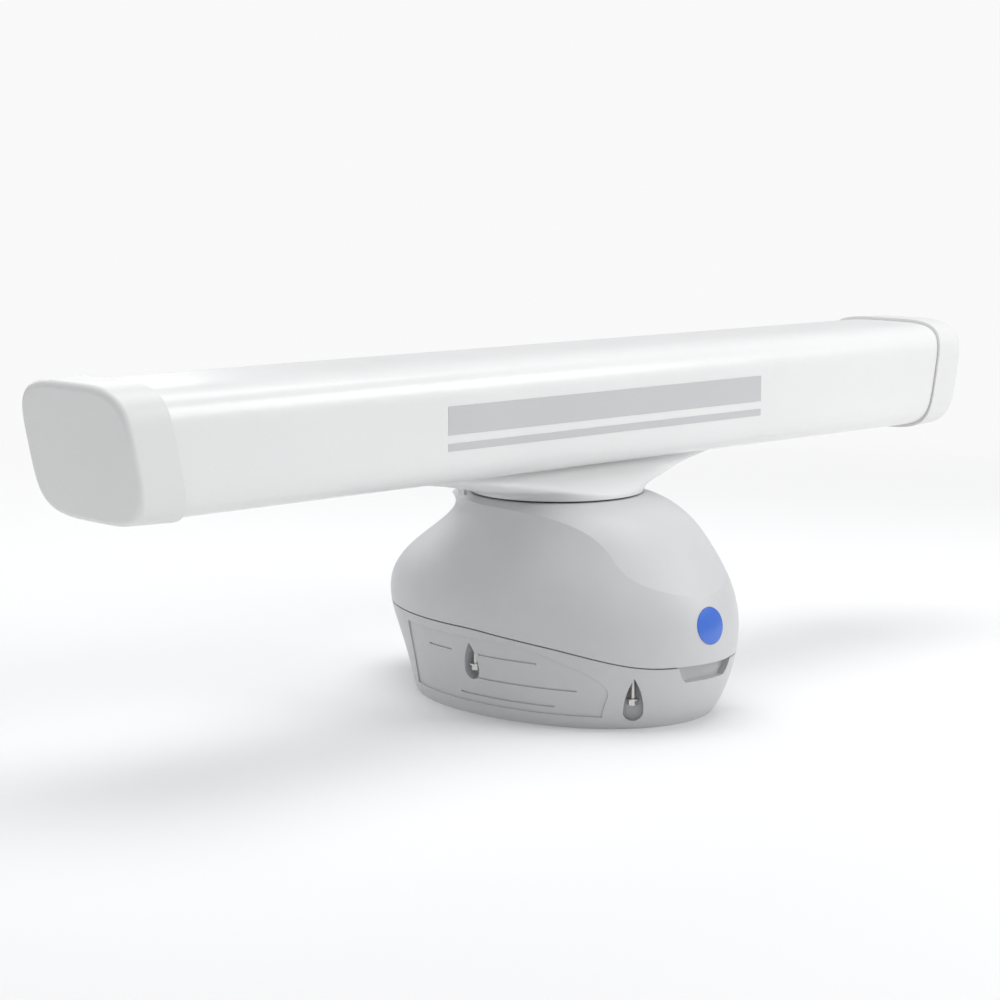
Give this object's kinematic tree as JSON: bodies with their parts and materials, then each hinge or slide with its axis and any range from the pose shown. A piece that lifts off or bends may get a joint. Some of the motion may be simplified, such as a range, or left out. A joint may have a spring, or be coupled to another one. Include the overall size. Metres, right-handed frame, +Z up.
{
  "type": "open array marine radar antenna",
  "caption": "Open-array marine radar: a slim white bar antenna turning on a tapered grey pedestal with a hinged cover.",
  "frame": {"origin": "on the antenna's turning axis, at the pedestal's flat underside", "axes": "+Z up along the turning axis, -Y towards the pedestal's nose, X along the parked bar"},
  "size_m": [1.303, 0.4778, 0.4029],
  "materials": {
    "cover_paint": "fine satin powder coat",
    "housing_paint": "fine satin powder coat",
    "turntable_paint": "satin powder coat",
    "radome_plastic": "semi-gloss white",
    "cap_plastic": "fine moulded texture",
    "stripe_film": "satin film",
    "badge_blue": "gloss",
    "seal_rubber": "matt",
    "grey_rubber": "matt",
    "stainless": "passivated stainless",
    "steel": "turned",
    "bearing_steel": "ground",
    "aluminium": "machined",
    "cast_aluminium": "as cast",
    "brass": "machined",
    "board": "solder mask",
    "black_plastic": "moulded",
    "cage_plastic": "moulded polyamide",
    "magnet": "sintered",
    "copper": "enamelled winding",
    "foam": "closed-cell foam"
  },
  "bodies": {
    "base": {"lower_housing": "housing_paint", "housing_gasket": "seal_rubber", "mounting_inserts": "stainless", "hinge_pin": "stainless", "stay_pin": "stainless", "power_board": "board", "motor_driver_board": "board", "board_standoffs": "brass", "board_screws": "stainless", "power_socket": "black_plastic", "network_socket": "black_plastic", "socket_contacts": "brass", "socket_nuts": "black_plastic", "ground_stud": "stainless", "breather_vent": "black_plastic"},
    "cover": {"upper_housing": "cover_paint", "nose_badge": "badge_blue", "bearing_carrier": "cast_aluminium", "carrier_screws": "stainless", "shaft_seal": "seal_rubber", "bearing_outer_races": "bearing_steel", "motor_can": "black_plastic", "motor_stator": "copper", "motor_plate": "aluminium", "plate_screws": "stainless", "position_sensor": "black_plastic", "transceiver_case": "cast_aluminium", "transceiver_lid": "aluminium", "transceiver_screws": "stainless", "transceiver_board": "board", "rotary_joint_stator": "brass"},
    "antenna": {"main_shaft": "steel", "shaft_nut": "steel", "bearing_spacer": "steel", "drive_gear": "steel", "gear_key": "steel", "index_magnet": "magnet", "bearing_inner_races": "bearing_steel", "rotary_joint_rotor": "brass", "turntable": "turntable_paint", "turntable_screws": "stainless", "antenna_bolts": "stainless", "radome_shell": "radome_plastic", "right_end_cap": "cap_plastic", "left_end_cap": "cap_plastic", "cap_seals": "grey_rubber", "array_spine": "aluminium", "feed_block": "brass", "slotted_waveguide": "aluminium", "flare_plates": "aluminium", "foam_supports": "foam", "end_loads": "magnet", "front_stripes": "stripe_film"},
    "motor_armature": {"motor_shaft": "steel", "motor_rotor": "magnet", "pinion": "steel"},
    "ball_set": {"bearing_balls": "bearing_steel", "bearing_cages": "cage_plastic"},
    "captive_bolt_set": {"captive_bolts": "stainless"},
    "stay": {"prop_stay": "stainless"}
  },
  "joints": [
    {"name": "cover_hinge", "type": "hinge", "parent": "base", "child": "cover", "pos_m": [0, 0.232, 0.0985], "axis": [-1, 0, 0], "range_deg": [0, 45]},
    {"name": "antenna_spin", "type": "hinge", "parent": "cover", "child": "antenna", "pos_m": [0, 0, 0.18], "axis": [0, 0, 1], "continuous": true},
    {"name": "motor_spin", "type": "hinge", "parent": "cover", "child": "motor_armature", "pos_m": [0, 0.084, 0.18], "axis": [0, 0, 1], "continuous": true},
    {"name": "balls_roll", "type": "hinge", "parent": "cover", "child": "ball_set", "pos_m": [0, 0, 0.18], "axis": [0, 0, 1], "continuous": true},
    {"name": "bolt_travel", "type": "slide", "parent": "base", "child": "captive_bolt_set", "axis": [0, 0, 1], "range_m": [0, 0.008]},
    {"name": "stay_swing", "type": "hinge", "parent": "base", "child": "stay", "pos_m": [0.092, 0.11, 0.034], "axis": [-1, 0, 0], "range_deg": [0, 80.68]}
  ],
  "couplings": [
    {"joint": "motor_spin", "follows": "antenna_spin", "ratio": -6},
    {"joint": "balls_roll", "follows": "antenna_spin", "ratio": 0.4134},
    {"joint": "stay_swing", "follows": "cover_hinge", "ratio": 1.7928}
  ]
}
